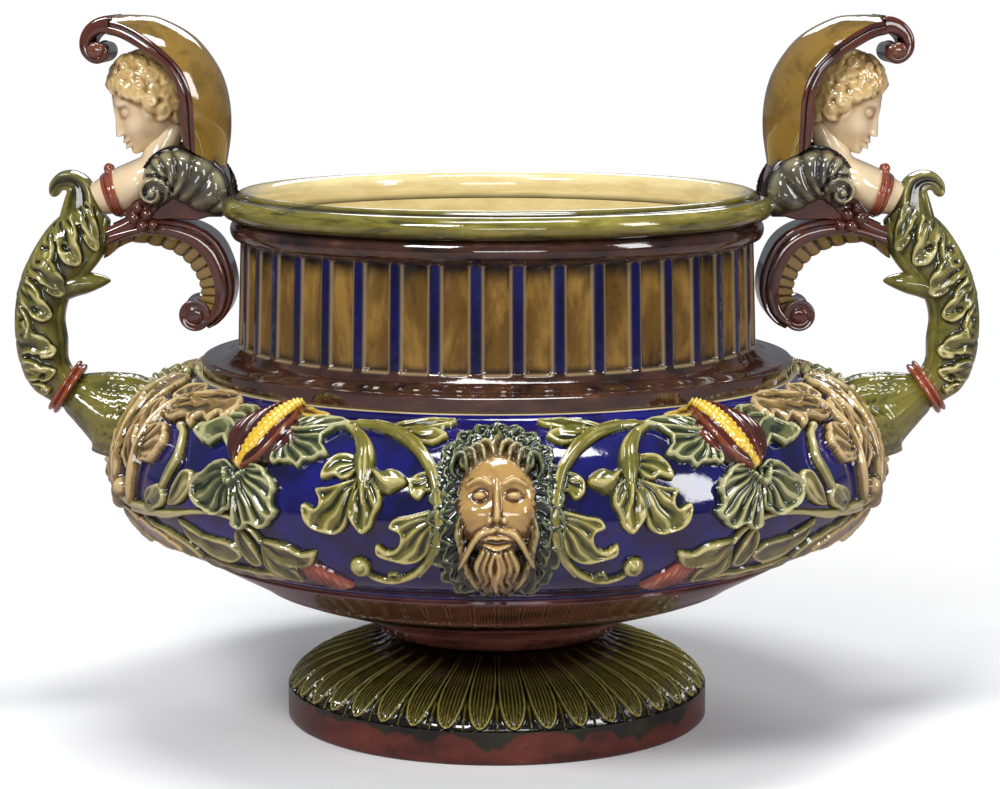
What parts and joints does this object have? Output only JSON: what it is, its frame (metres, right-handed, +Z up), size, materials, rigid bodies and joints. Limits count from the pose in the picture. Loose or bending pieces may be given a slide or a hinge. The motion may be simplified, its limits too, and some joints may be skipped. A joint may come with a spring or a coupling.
{
  "type": "two-handled jardiniere on a fixed foot",
  "caption": "Wide glazed ceramic jardiniere on a low petal foot, with a fluted neck, rolled rim, relief leaves and masks, and figure handles with hoods and scrolls.",
  "frame": {"origin": "centre of the foot's resting ring, on the floor", "axes": "+Z up, -Y towards the front mask, +X towards the right handle seen from the front"},
  "size_m": [0.5862, 0.494, 0.4266],
  "materials": {
    "petal_glaze": "glossy dark olive over red-brown",
    "cobalt_glaze": "glossy deep cobalt blue",
    "flute_glaze": "glossy golden brown with cobalt fillets",
    "rim_glaze": "glossy moss green, straw-coloured inside",
    "mask_glaze": "glossy honey with dark green leaves",
    "umber_glaze": "glossy dark brown",
    "slate_glaze": "glossy grey-green",
    "ochre_glaze": "glossy ochre",
    "flesh_glaze": "glossy pale cream",
    "rust_glaze": "glossy red-brown",
    "leaf_glaze": "glossy olive green",
    "buff_glaze": "glossy buff",
    "pod_glaze": "glossy yellow and red-brown"
  },
  "bodies": {
    "root": {"foot": "petal_glaze", "bowl": "cobalt_glaze", "neck": "flute_glaze", "rim": "rim_glaze", "mask_front": "mask_glaze", "mask_back": "mask_glaze", "console_right": "umber_glaze", "console_left": "umber_glaze", "volute_front_right": "slate_glaze", "volute_front_left": "slate_glaze", "volute_back_right": "slate_glaze", "volute_back_left": "slate_glaze", "hood_right": "ochre_glaze", "hood_left": "ochre_glaze", "hood_edge_right": "umber_glaze", "hood_edge_left": "umber_glaze", "head_right": "flesh_glaze", "head_left": "flesh_glaze", "bust_right": "flesh_glaze", "bust_left": "flesh_glaze", "bust_strap_right": "rust_glaze", "bust_strap_left": "rust_glaze", "arm_right": "leaf_glaze", "arm_left": "leaf_glaze", "arm_tip_right": "leaf_glaze", "arm_tip_left": "leaf_glaze", "scroll_right": "umber_glaze", "scroll_left": "umber_glaze", "knot_right": "umber_glaze", "knot_left": "umber_glaze", "lower_ring_right": "rust_glaze", "lower_ring_left": "rust_glaze", "calyx_right": "leaf_glaze", "calyx_left": "leaf_glaze", "side_mask_right": "buff_glaze", "side_mask_left": "buff_glaze", "scroll_leaves": "leaf_glaze", "pods": "pod_glaze", "pod_leaves": "leaf_glaze", "fan_leaves": "buff_glaze", "sprays": "leaf_glaze"}
  },
  "joints": []
}
